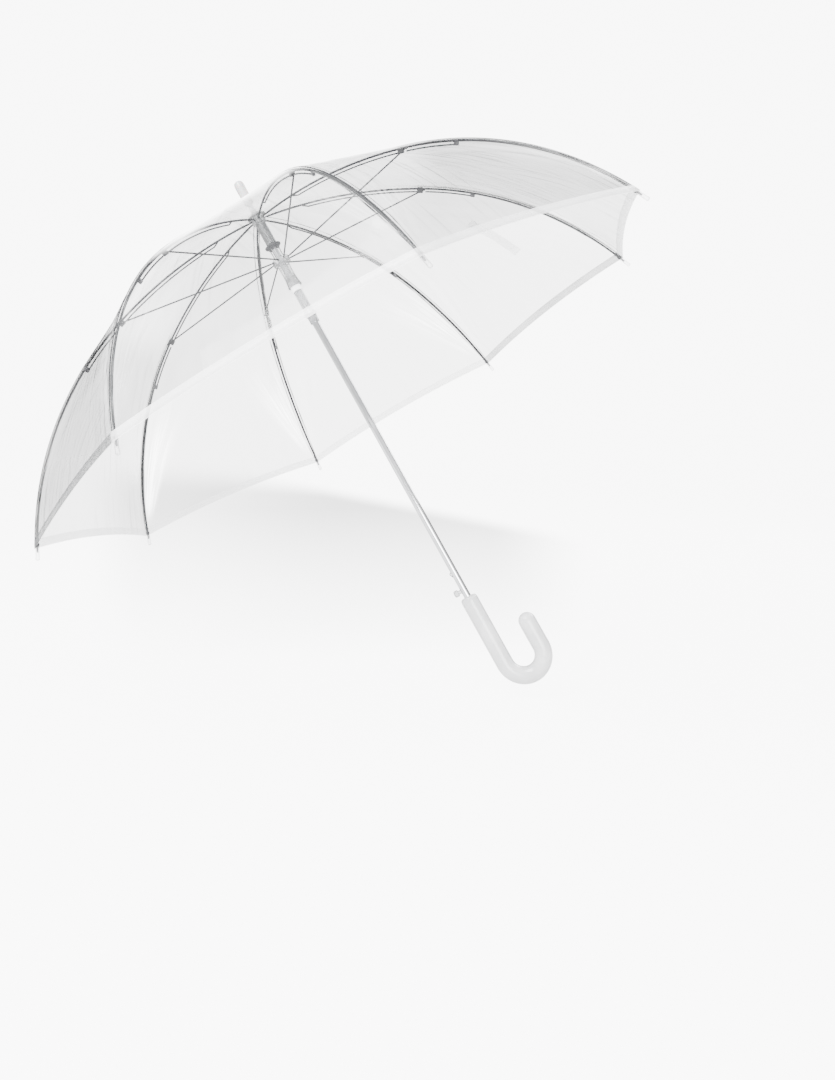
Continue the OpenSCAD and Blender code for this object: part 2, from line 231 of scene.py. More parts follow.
def bevel_box(name, centre, axes, size, mat, bevel=0.5):
    """Box with rounded edges. axes are three unit vectors, size in mm."""
    import bmesh

    bm = bmesh.new()
    bmesh.ops.create_cube(bm, size=1.0)
    for v in bm.verts:
        v.co = Vector((v.co.x * size[0] * MM, v.co.y * size[1] * MM, v.co.z * size[2] * MM))
    bmesh.ops.bevel(bm, geom=list(bm.edges), offset=bevel * MM, segments=3, profile=0.5, affect="EDGES")
    me = bpy.data.meshes.new(name)
    bm.to_mesh(me)
    bm.free()
    m = Matrix((axes[0], axes[1], axes[2])).transposed().to_4x4()
    m.translation = centre
    me.transform(m)
    me.polygons.foreach_set("use_smooth", [True] * len(me.polygons))
    me.materials.append(mat)
    o = bpy.data.objects.new(name, me)
    bpy.context.scene.collection.objects.link(o)
    crease(o, 50)
    return o


def weld(name, objs):
    """One piece out of several meshes of the same material."""
    import bmesh

    bm = bmesh.new()
    mat = objs[0].data.materials[0]
    for o in objs:
        bm.from_mesh(o.data)
    me = bpy.data.meshes.new(name)
    bm.to_mesh(me)
    bm.free()
    me.materials.append(mat)
    for o in objs:
        old = o.data
        bpy.data.objects.remove(o)
        bpy.data.meshes.remove(old)
    o = bpy.data.objects.new(name, me)
    bpy.context.scene.collection.objects.link(o)
    return o


# ---------------------------------------------------------------- materials
def new_mat(name):
    m = bpy.data.materials.new(name)
    m.use_nodes = True
    nt = m.node_tree
    return m, nt, nt.nodes["Principled BSDF"]


def put(nt, kind, **inputs):
    n = nt.nodes.new(kind)
    for key, value in inputs.items():
        if key.startswith("_"):
            setattr(n, key[1:], value)
        else:
            n.inputs[key.replace("__", " ")].default_value = value
    return n


def maths(nt, op, a, b=None, clamp=False):
    n = nt.nodes.new("ShaderNodeMath")
    n.operation = op
    n.use_clamp = clamp
    for i, v in enumerate((a, b)):
        if v is None:
            continue
        if isinstance(v, (int, float)):
            n.inputs[i].default_value = v
        else:
            nt.links.new(v, n.inputs[i])
    return n.outputs[0]


def span(nt, value, lo, hi, to_lo=0.0, to_hi=1.0, smooth=True):
    n = nt.nodes.new("ShaderNodeMapRange")
    n.interpolation_type = "SMOOTHSTEP" if smooth else "LINEAR"
    nt.links.new(value, n.inputs["Value"])
    n.inputs["From Min"].default_value = lo
    n.inputs["From Max"].default_value = hi
    n.inputs["To Min"].default_value = to_lo
    n.inputs["To Max"].default_value = to_hi
    return n.outputs["Result"]


def colour_mix(nt, fac, a, b):
    n = nt.nodes.new("ShaderNodeMix")
    n.data_type = "RGBA"
    nt.links.new(fac, n.inputs["Factor"])
    n.inputs["A"].default_value = (*a, 1)
    n.inputs["B"].default_value = (*b, 1)
    return n.outputs["Result"]


def noise(nt, vector, scale, detail=3.0, rough=0.5):
    n = nt.nodes.new("ShaderNodeTexNoise")
    n.inputs["Scale"].default_value = scale
    n.inputs["Detail"].default_value = detail
    n.inputs["Roughness"].default_value = rough
    nt.links.new(vector, n.inputs["Vector"])
    return n.outputs["Fac"]


def combine(nt, x, y, z=0.0):
    n = nt.nodes.new("ShaderNodeCombineXYZ")
    for i, v in enumerate((x, y, z)):
        if isinstance(v, (int, float)):
            n.inputs[i].default_value = v
        else:
            nt.links.new(v, n.inputs[i])
    return n.outputs[0]


def solid(name, a, b, scale, rough=(0.3, 0.4), metallic=0.0, bump=0.0, stretch=(1, 1, 1), **extra):
    """Opaque finish: two close colours and a roughness that vary with a noise in object space."""
    m, nt, p = new_mat(name)
    tc = nt.nodes.new("ShaderNodeTexCoord")
    mp = nt.nodes.new("ShaderNodeMapping")
    mp.inputs["Scale"].default_value = stretch
    nt.links.new(tc.outputs["Object"], mp.inputs["Vector"])
    f = noise(nt, mp.outputs[0], scale, 4.0, 0.55)
    g = span(nt, f, 0.3, 0.7)
    nt.links.new(colour_mix(nt, g, a, b), p.inputs["Base Color"])
    nt.links.new(span(nt, f, 0.25, 0.75, rough[0], rough[1]), p.inputs["Roughness"])
    p.inputs["Metallic"].default_value = metallic
    if bump:
        bn = nt.nodes.new("ShaderNodeBump")
        bn.inputs["Strength"].default_value = bump
        bn.inputs["Distance"].default_value = 0.0004
        nt.links.new(f, bn.inputs["Height"])
        nt.links.new(bn.outputs[0], p.inputs["Normal"])
    for k, v in extra.items():
        p.inputs[k.replace("__", " ")].default_value = v
    return m


def film_material():
    m, nt, p = new_mat("clear_film")
    uv = nt.nodes.new("ShaderNodeUVMap")
    uv.uv_map = "UVMap"
    sep = nt.nodes.new("ShaderNodeSeparateXYZ")
    nt.links.new(uv.outputs[0], sep.inputs[0])
    u, v = sep.outputs[0], sep.outputs[1]  # metres across from the rib, metres along it
    au = maths(nt, "ABSOLUTE", u)
    down = maths(nt, "SUBTRACT", (LEN_A + LEN_B) * MM + 0.02, v)
    theta = maths(nt, "ARCTAN2", u, down)
    atheta = maths(nt, "ABSOLUTE", theta)
    # painted highlights along the folds that fan out from the tips
    fan = noise(nt, combine(nt, maths(nt, "MULTIPLY", theta, 26.0), maths(nt, "MULTIPLY", v, 7.0), 0.3), 1.0, 3.0, 0.6)
    fine = noise(nt, combine(nt, maths(nt, "MULTIPLY", theta, 90.0), maths(nt, "MULTIPLY", v, 9.0), 4.1), 1.0, 2.0, 0.5)
    lines = maths(nt, "MULTIPLY", span(nt, fan, 0.38, 0.56), maths(nt, "ADD", 0.35, maths(nt, "MULTIPLY", span(nt, fine, 0.40, 0.58), 0.65)))
    near = maths(nt, "MULTIPLY", span(nt, atheta, 0.44, 0.16), span(nt, atheta, 0.02, 0.09))
    reach = maths(nt, "MULTIPLY", span(nt, down, 0.27, 0.12), span(nt, down, 0.035, 0.07))
    veil = nt.nodes.new("ShaderNodeAttribute")
    veil.attribute_name = "veil"
    fold_glint = maths(nt, "MULTIPLY", maths(nt, "MULTIPLY", maths(nt, "MULTIPLY", lines, near), reach), veil.outputs["Fac"])
    # a painted pale sheen between the folds where they are strongest
    sheen = maths(nt, "MULTIPLY", span(nt, atheta, 0.40, 0.27), span(nt, atheta, 0.08, 0.18))
    sheen = maths(nt, "MULTIPLY", maths(nt, "MULTIPLY", sheen, maths(nt, "MULTIPLY", span(nt, down, 0.21, 0.12), span(nt, down, 0.03, 0.08))), span(nt, veil.outputs["Fac"], 0.75, 1.0))
    fold_glint = maths(nt, "ADD", fold_glint, maths(nt, "MULTIPLY", sheen, 0.42), True)
    # long soft folds further out in the gore
    soft = noise(nt, combine(nt, maths(nt, "MULTIPLY", u, 38.0), maths(nt, "MULTIPLY", v, 4.0), 2.0), 1.0, 2.0, 0.5)
    long_fold = maths(nt, "MULTIPLY", span(nt, soft, 0.56, 0.75), 0.35)
    # hair-fine dark wrinkles, which show where the film is seen at a low angle
    hair = noise(nt, combine(nt, maths(nt, "MULTIPLY", u, 210.0), maths(nt, "MULTIPLY", v, 6.0), 7.0), 1.0, 3.0, 0.6)
    face = nt.nodes.new("ShaderNodeLayerWeight")
    face.inputs["Blend"].default_value = 0.5
    graze = maths(nt, "POWER", face.outputs["Facing"], 2.0)
    # painted light: the inner sections, over the top of the dome, darken less at a low angle, as if lit from above
    inner = span(nt, v, (LEN_A + 25.0) * MM, (LEN_A - 25.0) * MM)
    # broad patches of painted highlight over the shoulder of the dome
    cloud = noise(nt, combine(nt, maths(nt, "MULTIPLY", u, 9.0), maths(nt, "MULTIPLY", v, 3.2), 5.0), 1.0, 3.0, 0.55)
    band = maths(nt, "MULTIPLY", span(nt, v, 0.0, 0.05), span(nt, v, 0.31, 0.24))
    shoulder = nt.nodes.new("ShaderNodeAttribute")
    shoulder.attribute_name = "shoulder"
    patch = maths(nt, "MULTIPLY", span(nt, cloud, 0.32, 0.62, 0.5, 1.0), span(nt, graze, 0.0, 0.42, 0.45, 1.0))
    shoulder_glare = maths(nt, "MULTIPLY", maths(nt, "MULTIPLY", patch, band), shoulder.outputs["Fac"])
    wrinkle = maths(nt, "MULTIPLY", maths(nt, "MULTIPLY", span(nt, hair, 0.52, 0.72), graze), maths(nt, "SUBTRACT", 0.45, maths(nt, "MULTIPLY", inner, 0.33)))
    alpha = maths(nt, "ADD", 0.35, maths(nt, "MULTIPLY", graze, maths(nt, "SUBTRACT", 0.29, maths(nt, "MULTIPLY", inner, 0.22))))
    alpha = maths(nt, "ADD", maths(nt, "ADD", alpha, wrinkle), maths(nt, "MULTIPLY", long_fold, 0.06), True)
    # painted glare lies over the film: it hides what is behind as much as it shines; it is drawn as white emission and
    # a paler base colour
    glare = maths(nt, "ADD", maths(nt, "MULTIPLY", shoulder_glare, 0.82), maths(nt, "MULTIPLY", fold_glint, 0.95), True)
    cover = maths(nt, "SUBTRACT", 1.0, maths(nt, "MULTIPLY", maths(nt, "SUBTRACT", 1.0, alpha), maths(nt, "SUBTRACT", 1.0, glare)), True)
    nt.links.new(cover, p.inputs["Alpha"])
    nt.links.new(colour_mix(nt, glare, (0.035, 0.036, 0.038), (0.30, 0.305, 0.31)), p.inputs["Base Color"])
    p.inputs["Emission Color"].default_value = (1, 1, 1, 1)
    nt.links.new(maths(nt, "DIVIDE", maths(nt, "MULTIPLY", glare, 8.3), maths(nt, "MAXIMUM", cover, 0.1)), p.inputs["Emission Strength"])
    nt.links.new(span(nt, soft, 0.3, 0.7, 0.08, 0.2), p.inputs["Roughness"])
    p.inputs["IOR"].default_value = 1.5
    p.inputs["Specular IOR Level"].default_value = 0.8
    bn = nt.nodes.new("ShaderNodeBump")
    bn.inputs["Strength"].default_value = 0.35
    bn.inputs["Distance"].default_value = 0.002
    height = maths(nt, "ADD", maths(nt, "MULTIPLY", fan, near), maths(nt, "MULTIPLY", soft, 0.5))
    nt.links.new(height, bn.inputs["Height"])
    nt.links.new(bn.outputs[0], p.inputs["Normal"])
    return m


def milky_film(name, alpha_lo, alpha_hi, a=(0.86, 0.87, 0.88), b=(0.97, 0.97, 0.98), glow=0.0, lit=""):
    m, nt, p = new_mat(name)
    tc = nt.nodes.new("ShaderNodeTexCoord")
    f = noise(nt, tc.outputs["Object"], 14.0, 3.0)
    nt.links.new(colour_mix(nt, span(nt, f, 0.3, 0.7), a, b), p.inputs["Base Color"])
    face = nt.nodes.new("ShaderNodeLayerWeight")
    face.inputs["Blend"].default_value = 0.5
    al = span(nt, f, 0.3, 0.7, alpha_lo, alpha_hi)
    al = maths(nt, "ADD", al, maths(nt, "MULTIPLY", face.outputs["Facing"], 0.25), True)
    nt.links.new(al, p.inputs["Alpha"])
    nt.links.new(span(nt, f, 0.3, 0.7, 0.22, 0.36), p.inputs["Roughness"])
    p.inputs["Coat Weight"].default_value = 0.2
    if glow:  # painted light: the film glows white, as if lit through from behind
        p.inputs["Emission Color"].default_value = (1, 1, 1, 1)
        p.inputs["Emission Strength"].default_value = glow
    if lit:  # painted light and shade: more glow and a paler film where the named attribute is high, a darker film where it is low
        share = nt.nodes.new("ShaderNodeAttribute")
        share.attribute_name = lit
        nt.links.new(maths(nt, "MULTIPLY", share.outputs["Fac"], glow), p.inputs["Emission Strength"])
        shade_tone = nt.nodes.new("ShaderNodeMix")
        shade_tone.data_type = "RGBA"
        nt.links.new(share.outputs["Fac"], shade_tone.inputs["Factor"])
        shade_tone.inputs["A"].default_value = (0.2, 0.205, 0.21, 1)
        nt.links.new(p.inputs["Base Color"].links[0].from_socket, shade_tone.inputs["B"])
        nt.links.new(shade_tone.outputs["Result"], p.inputs["Base Color"])
    return m


def clear_plastic(name, a, b, rim, lo, hi, edge):
    m, nt, p = new_mat(name)
    tc = nt.nodes.new("ShaderNodeTexCoord")
    f = noise(nt, tc.outputs["Object"], 140.0, 2.0)
    face = nt.nodes.new("ShaderNodeLayerWeight")
    face.inputs["Blend"].default_value = 0.5
    edge_on = maths(nt, "POWER", face.outputs["Facing"], 1.6)
    body = colour_mix(nt, span(nt, f, 0.3, 0.7), a, b)
    mix = nt.nodes.new("ShaderNodeMix")
    mix.data_type = "RGBA"
    nt.links.new(edge_on, mix.inputs["Factor"])
    nt.links.new(body, mix.inputs["A"])
    mix.inputs["B"].default_value = (*rim, 1)
    nt.links.new(mix.outputs["Result"], p.inputs["Base Color"])
    al = maths(nt, "ADD", span(nt, f, 0.3, 0.7, lo, hi), maths(nt, "MULTIPLY", edge_on, edge), True)
    nt.links.new(al, p.inputs["Alpha"])
    nt.links.new(span(nt, f, 0.3, 0.7, 0.06, 0.14), p.inputs["Roughness"])
    p.inputs["IOR"].default_value = 1.49
    return m


def seam_material():
    m, nt, p = new_mat("weld_seam")
    uv = nt.nodes.new("ShaderNodeUVMap")
    uv.uv_map = "UVMap"
    sep = nt.nodes.new("ShaderNodeSeparateXYZ")
    nt.links.new(uv.outputs[0], sep.inputs[0])
    side = maths(nt, "ABSOLUTE", sep.outputs[0])
    rim = maths(nt, "MULTIPLY", span(nt, side, 3.7, 4.4), span(nt, side, 6.4, 5.9))
    patchy = noise(nt, combine(nt, maths(nt, "MULTIPLY", sep.outputs[0], 0.4), maths(nt, "MULTIPLY", sep.outputs[1], 9.0), 0.0), 1.0, 3.0)
    mark = nt.nodes.new("ShaderNodeAttribute")
    mark.attribute_name = "mark"
    beads = maths(nt, "MULTIPLY", maths(nt, "MULTIPLY", rim, span(nt, patchy, 0.34, 0.62, 0.36, 0.94)), mark.outputs["Fac"])
    # the rod shows through, and a dark core is painted over it on the lower half as the rod's shadow on the film
    core = maths(nt, "MULTIPLY", maths(nt, "MULTIPLY", span(nt, side, 2.1, 1.3), span(nt, sep.outputs[1], 0.86, 1.0)), span(nt, patchy, 0.3, 0.5, 0.80, 0.94))
    dark = maths(nt, "MAXIMUM", beads, core)
    nt.links.new(colour_mix(nt, maths(nt, "MULTIPLY", dark, 1.3, True), (0.5, 0.51, 0.52), (0.03, 0.031, 0.033)), p.inputs["Base Color"])
    nt.links.new(maths(nt, "ADD", 0.05, dark, True), p.inputs["Alpha"])
    p.inputs["Specular IOR Level"].default_value = 0.12
    nt.links.new(span(nt, patchy, 0.3, 0.7, 0.12, 0.26), p.inputs["Roughness"])
    return m


FILM = film_material()
# painted light: the hem and the strap glow white, the hem more on the gores listed in HEM_LIT
HEM = milky_film("milky_hem", 0.22, 0.32, (0.8, 0.81, 0.82), (0.9, 0.9, 0.91), glow=3.8, lit="lit")
SEAM = seam_material()
STRAP = milky_film("milky_strap", 0.10, 0.16, (0.7, 0.71, 0.72), (0.9, 0.9, 0.91), glow=1.5)
RIB = solid("rib_wire", (0.035, 0.036, 0.039), (0.09, 0.092, 0.096), 220, (0.24, 0.40), 0.85, 0.15, (1, 1, 0.4))
STRETCH = solid("stretcher_wire", (0.035, 0.036, 0.039), (0.10, 0.102, 0.106), 240, (0.22, 0.38), 0.85, 0.1)
CHROME = solid("plated_tube", (0.66, 0.67, 0.69), (0.82, 0.83, 0.84), 90, (0.05, 0.11), 1.0, 0.04, (6, 6, 0.5))
SLEEVE = solid("sleeve_metal", (0.42, 0.43, 0.45), (0.58, 0.59, 0.60), 140, (0.2, 0.32), 0.9, 0.06, (4, 4, 0.6))
SPRING = solid("spring_steel", (0.26, 0.265, 0.27), (0.5, 0.505, 0.51), 260, (0.28, 0.42), 0.9, 0.1)
DARK = solid("dark_plastic", (0.035, 0.036, 0.04), (0.07, 0.07, 0.075), 180, (0.3, 0.45), 0.0, 0.08)
FERRULE = solid("dark_ferrule", (0.10, 0.10, 0.11), (0.2, 0.2, 0.21), 300, (0.25, 0.4), 0.8, 0.1)
# painted light: the white plastic glows (emission strength 5), so the ring and the snap stay bright white
WHITE = solid("white_plastic", (0.86, 0.86, 0.86), (0.93, 0.93, 0.93), 120, (0.25, 0.36), 0.0, 0.05, Emission__Color=(1, 1, 1, 1), Emission__Strength=5.0)
CAP = solid("milky_cap", (0.46, 0.46, 0.465), (0.58, 0.58, 0.585), 70, (0.22, 0.34), 0.0, 0.06, Coat__Weight=0.3, Subsurface__Weight=0.15)
CLEAR = clear_plastic("clear_plastic", (0.6, 0.61, 0.62), (0.9, 0.91, 0.92), (0.02, 0.021, 0.023), 0.08, 0.30, 0.95)
CLEAR_CAP = clear_plastic("clear_tip", (0.8, 0.81, 0.82), (0.95, 0.95, 0.96), (0.05, 0.052, 0.055), 0.12, 0.26, 0.8)


def handle_material():
    m, nt, p = new_mat("milky_handle")
    tc = nt.nodes.new("ShaderNodeTexCoord")
    f = noise(nt, tc.outputs["Object"], 26.0, 4.0, 0.5)
    nt.links.new(colour_mix(nt, span(nt, f, 0.3, 0.7), (0.66, 0.665, 0.67), (0.80, 0.80, 0.805)), p.inputs["Base Color"])
    nt.links.new(span(nt, f, 0.3, 0.7, 0.2, 0.3), p.inputs["Roughness"])
    p.inputs["Subsurface Weight"].default_value = 0.35
    p.inputs["Subsurface Scale"].default_value = 0.006
    p.inputs["Subsurface Radius"].default_value = (1.0, 1.0, 1.0)
    p.inputs["Coat Weight"].default_value = 0.7
    p.inputs["Coat Roughness"].default_value = 0.09
    bn = nt.nodes.new("ShaderNodeBump")
    bn.inputs["Strength"].default_value = 0.05
    bn.inputs["Distance"].default_value = 0.0004
    nt.links.new(f, bn.inputs["Height"])
    nt.links.new(bn.outputs[0], p.inputs["Normal"])
    return m


HANDLE = handle_material()


def finish_node(name, mat):
    o = NODES[name]
    o.data.materials.clear()
    o.data.materials.append(mat)


# ---------------------------------------------------------------- CAD pieces that stay
finish_node("shaft", CHROME)
finish_node("runner", CLEAR)
finish_node("runner_sleeve", SLEEVE)
finish_node("top_notch", CLEAR)

# ---------------------------------------------------------------- film, hem and welds
NU = 26
GLINT_BY_SIDE = {(3, -1): 1.0, (4, 1): 0.95, (5, 1): 0.8}  # how strongly the painted fold highlights show at each side of a rib
HEM_LIT = {8: 1.0, 7: 0.7, 6: 0.55, 5: 0.0, 4: 0.7, 3: 0.65, 2: 0.6, 1: 0.0}  # painted light on each gore's hem: by gore, named after its lower rib number
GLEAM = {1: 1.0, 2: 1.0, 3: 0.5, 4: 0.2, 5: 0.2, 6: 0.3, 7: 1.0, 8: 1.0}  # painted highlight over each rib's shoulder, set rib by rib
for k in range(1, 9):
    for part, t0, t1, nt_ in (("inner", 4.0 / LEN_A, 1.0, 40), ("outer", 1.0, 2.0, 64)):
        verts, uv = [], []
        cols = [(s, i / NU * 0.5) for s in (-1,) for i in range(NU, 0, -1)] + [(1, i / NU * 0.5) for i in range(0, NU + 1)]
        for s, w in cols:
            for j in range(nt_ + 1):
                end = t1 - (8.5 / LEN_B) * 4 * w * (1 - w) if part == "outer" else t1
                t = t0 + (end - t0) * j / nt_
                verts.append(film_pt(k, t, w, s))
                r = rib_rz(t)[0]
                along = t * LEN_A if t <= 1 else LEN_A + (t - 1) * LEN_B
                uv.append((s * w * 2 * r * math.sin(math.radians(HALF)) * MM, along * MM))
        o = make(f"film_{part}_{k}", verts, grid_faces(len(cols), nt_ + 1), FILM, True, uv)
        veil = o.data.attributes.new("veil", "FLOAT", "POINT")
        gleam = o.data.attributes.new("shoulder", "FLOAT", "POINT")
        for i in range(len(verts)):
            s_, w_ = cols[i // (nt_ + 1)]
            veil.data[i].value = GLINT_BY_SIDE.get((k, s_), 0.14)
            other = (k - s_ - 1) % 8 + 1
            gleam.data[i].value = GLEAM[k] * (1 - w_) + GLEAM[other] * w_
        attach(o, f"rib_{part}_{k}")
        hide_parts(f"canopy_{part}_{k}")
        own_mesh(o)
        if part == "outer":
            # folded and welded hem, a doubled milky edge
            hv, hf = [], []
            for s, w in cols:
                end = t1 - (8.5 / LEN_B) * 4 * w * (1 - w)
                ring = [(end - 11.0 / LEN_B, FILM_OFF + 0.5), (end - 5.5 / LEN_B, FILM_OFF + 0.75), (end + 0.6 / LEN_B, FILM_OFF + 0.45),
                        (end + 0.6 / LEN_B, FILM_OFF - 0.45), (end - 5.5 / LEN_B, FILM_OFF - 0.75), (end - 11.0 / LEN_B, FILM_OFF - 0.5)]
                for t, off in ring:
                    hv.append(film_pt(k, t, w, s, off))
            n = 6
            for i in range(len(cols) - 1):
                for j in range(n):
                    a, b = i * n + j, i * n + (j + 1) % n
                    hf.append((a, b, b + n, a + n))
            hem = make(f"hem_{k}", hv, hf, HEM)
            lit = hem.data.attributes.new("lit", "FLOAT", "POINT")
            for i in range(len(hv)):
                lit.data[i].value = HEM_LIT[k if cols[i // 6][0] < 0 else (k - 2) % 8 + 1]
            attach(hem, f"rib_outer_{k}")
            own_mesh(hem)
        # welded seam along the rib, a band with a bead along each edge
        sv, sf, suv, marks = [], [], [], []
        steps = 60
        across = (-6.4, -5.6, -4.8, -4.0, -2.0, 0.0, 2.0, 4.0, 4.8, 5.6, 6.4)
        nc = len(across)
        for j in range(steps + 1):
            t = t0 + (t1 - t0) * j / steps
            if part == "outer":
                t = min(t, 2.0 - 1.0 / LEN_B)
            gore = 2 * rib_rz(t)[0] * math.sin(math.radians(HALF))
            for x in across:
                w = min(abs(x) * min(1.0, 0.4 + (2 - t) * LEN_B / 110.0), 0.38 * gore) / gore
                bead = {6.4: 0.0, 5.6: 0.4, 4.8: 0.45}.get(abs(x), 0.2)
                sv.append(film_pt(k, t, w, 1 if x > 0 else -1, FILM_OFF + 0.15 + bead))
                suv.append((x, t))
                marks.append(1.0 if k in (4, 5) else 0.15 + 0.85 * min(1.0, max(0.0, (t - 0.7) / 0.3)))
        for j in range(steps):
            for i in range(nc - 1):
                a, b = j * nc + i, j * nc + i + 1
                sf.append((a, b, b + nc, a + nc))
        seam = make(f"seam_{part}_{k}", sv, sf, SEAM, True, suv)
        mark = seam.data.attributes.new("mark", "FLOAT", "POINT")
        for i in range(len(sv)):
            mark.data[i].value = marks[i]
        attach(seam, f"rib_{part}_{k}")
        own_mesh(seam)

# ---------------------------------------------------------------- ribs, stretchers and their fittings
def eye(name, k, r, z, side, outer, bore, width, mat, turn=0.0):
    """Flat ring round a pin that lies across the rib plane."""
    m = Matrix((Vector((math.cos(az(k)), math.sin(az(k)), 0)), Vector((0, 0, 1)), Vector((math.sin(az(k)), -math.cos(az(k)), 0)))).transposed().to_4x4()
    m.translation = at_rib(k, r, z, side)
    h, b = width / 2, 0.25
    return lathe(name, [(bore, -h), (outer - b, -h), (outer, -h + b), (outer, h - b), (outer - b, h), (bore, h), (bore, -h)], mat, m, 28)


for k in range(1, 9):
    rad = Vector((math.cos(az(k)), math.sin(az(k)), 0))
    tan = Vector((-math.sin(az(k)), math.cos(az(k)), 0))

    def frame_at(t):
        d = rib_dir(t)
        along = rad * d[0] + Vector((0, 0, 1)) * d[1]
        out = rad * (-d[1]) + Vector((0, 0, 1)) * d[0]
        return along, out

    def run(t0, t1, n, off=0.0, side=0.0):
        return [at_rib(k, *rib_rz(t0 + (t1 - t0) * i / n, off(t0 + (t1 - t0) * i / n) if callable(off) else off), side) for i in range(n + 1)]

    # upper rib: rod with a flat eye at the hub, and the support rod that bends up to it
    rod = tube("a", run(2.2 / LEN_A, 1 - 0.6 / LEN_A, 46), [1.0, 1.25, 1.5] + [1.55] * 44, RIB, 14)
    t_foot = 62.0 / LEN_A

    def foot(t):
        f = min(1.0, (t - t_foot) * LEN_A / 9.0)
        return -1.4 - 3.6 * (f * f * (3 - 2 * f))

    sup = tube("b", run(t_foot, 1 - 2.0 / LEN_A, 44, foot), 1.1, RIB, 12)
    ring = eye("c", k, A[0], A[1], 0, 1.9, 0.56, 2.0, RIB)
    upper = weld(f"rib_upper_{k}", [rod, sup, ring])
    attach(upper, f"rib_inner_{k}")
    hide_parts(f"rib_inner_{k}")
    # dark clip that holds both rods at the stretcher joint, with the ear and rivet of the joint
    t = 1 - 6.5 / LEN_A
    along, out = frame_at(t)
    r, z = rib_rz(t, -2.5)
    clip = bevel_box(f"joint_clip_{k}", at_rib(k, r, z), (along, tan, out), (8.8, 4.0, 8.6), DARK, 0.9)
    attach(clip, f"rib_inner_{k}")
    along, out = frame_at(1 - 2.0 / LEN_A)
    ear = bevel_box("d", at_rib(k, B[0], B[1], 1.98) - along * 3.0 * MM, (along, tan, out), (10.4, 0.64, 3.9), RIB, 0.2)
    m = Matrix((rad, Vector((0, 0, 1)), -tan)).transposed().to_4x4()
    m.translation = at_rib(k, B[0], B[1], 0)
    rivet = lathe("e", [(0.0, -5.45), (0.7, -5.4), (1.15, -5.1), (1.2, -4.8), (1.1, -4.6), (0.5, -4.6), (0.5, -2.0), (0.0, -2.0)], RIB, m, 24)
    joint = weld(f"joint_ear_{k}", [ear, rivet])
    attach(joint, f"rib_inner_{k}")
    # lower rib: rod to the tip, with the end of the support rod clamped under it
    rod = tube("a", run(1.0 + 0.6 / LEN_B, 2 - 1.2 / LEN_B, 54), 1.55, RIB, 14)
    sup = tube("b", run(1 + 2.0 / LEN_B, 1 + 79.0 / LEN_B, 16, -5.0), 1.1, RIB, 12)
    lower = weld(f"rib_lower_{k}", [rod, sup])
    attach(lower, f"rib_outer_{k}")
    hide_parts(f"rib_outer_{k}")
    t = 1 + 77.0 / LEN_B
    along, out = frame_at(t)
    r, z = rib_rz(t, -2.6)
    clamp = bevel_box(f"rod_clamp_{k}", at_rib(k, r, z), (along, tan, out), (7.2, 3.4, 7.8), FERRULE, 1.1)
    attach(clamp, f"rib_outer_{k}")
    # stretcher: wire with a flattened eye at each end
    p0, p1 = at_rib(k, RUN[0], RUN[1], 3.5), at_rib(k, B[0], B[1], 3.5)
    d = (p1 - p0).normalized()
    wire_pts = [p0 + d * 1.3 * MM, p0 + d * 2.6 * MM, p0 + d * 5 * MM, p0.lerp(p1, 0.5), p1 - d * 5 * MM, p1 - d * 2.6 * MM, p1 - d * 1.3 * MM]
    wire = tube("a", wire_pts, [0.75, 0.85, 1.15, 1.15, 1.15, 0.85, 0.75], STRETCH, 12)
    e0 = eye("b", k, RUN[0], RUN[1], 3.5, 1.8, 0.56, 1.5, STRETCH)
    e1 = eye("c", k, B[0], B[1], 3.5, 1.8, 0.56, 1.5, STRETCH)
    arm = weld(f"stretcher_arm_{k}", [wire, e0, e1])
    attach(arm, f"stretcher_{k}")
    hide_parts(f"stretcher_{k}")
    # dark ferrule and clear cap at the tip
    along, out = frame_at(2.0)
    base = at_rib(k, T[0], T[1])
    m = Matrix((tan, out, along)).transposed().to_4x4()
    m.translation = base
    ferrule = lathe(f"tip_ferrule_{k}", [(1.6, -14), (2.0, -13.6), (2.2, -12.4), (2.2, -9.6), (1.9, -9.0), (1.9, -6.9), (2.6, -6.2), (2.85, -4.8), (2.75, -3.0), (2.2, -2.3), (1.4, -2.1), (1.2, 5.0), (1.0, 5.6), (0.0, 5.8)], DARK, m, 32)
    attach(ferrule, f"rib_outer_{k}")
    cap = lathe(f"clear_tip_{k}", [(1.9, -1.9), (2.45, -1.7), (2.6, -1.2), (2.6, 0.4), (2.4, 0.9), (2.4, 12.2), (2.55, 12.8), (2.6, 14.2), (2.3, 15.3), (1.4, 15.9), (0.0, 16.0)], CLEAR_CAP, m, 32)
    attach(cap, f"rib_outer_{k}")
    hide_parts(f"tip_cap_{k}")

# ---------------------------------------------------------------- coil spring, cup and guide wires
turns, wire = 18.5, 0.82
pts = []
steps = int(turns * 28)
for i in range(steps + 1):
    f = i / steps
    a = 2 * math.pi * turns * f
    z = 632.2 + wire + (38 - 2 * wire) * f
    pts.append(Vector((7.15 * math.cos(a) * MM, 7.15 * math.sin(a) * MM, z * MM)))
coil = tube("coil_spring", pts, wire, SPRING, 10)
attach(coil, "shaft")
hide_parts("main_spring")
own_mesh(coil)

cup = lathe("spring_seat", [(5.06, 631.8), (8.2, 631.8), (8.2, 631.0), (11.6, 631.2), (12.4, 630.9), (12.5, 629.6), (12.1, 628.7), (11.0, 628.2), (9.2, 626.6), (8.6, 625.0), (5.06, 624.8), (5.06, 631.8)], DARK)
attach(cup, "spring_cup")
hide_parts("spring_cup")
for k in range(1, 9):
    w = tube(f"guide_wire_{k}", [at_rib(k, 7.9, 625.8), at_rib(k, 7.6, 621), at_rib(k, 7.4, 615), at_rib(k, 7.5, 611), at_rib(k, 8.0, 610.2)], 0.5, SPRING, 8)
    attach(w, "spring_cup")

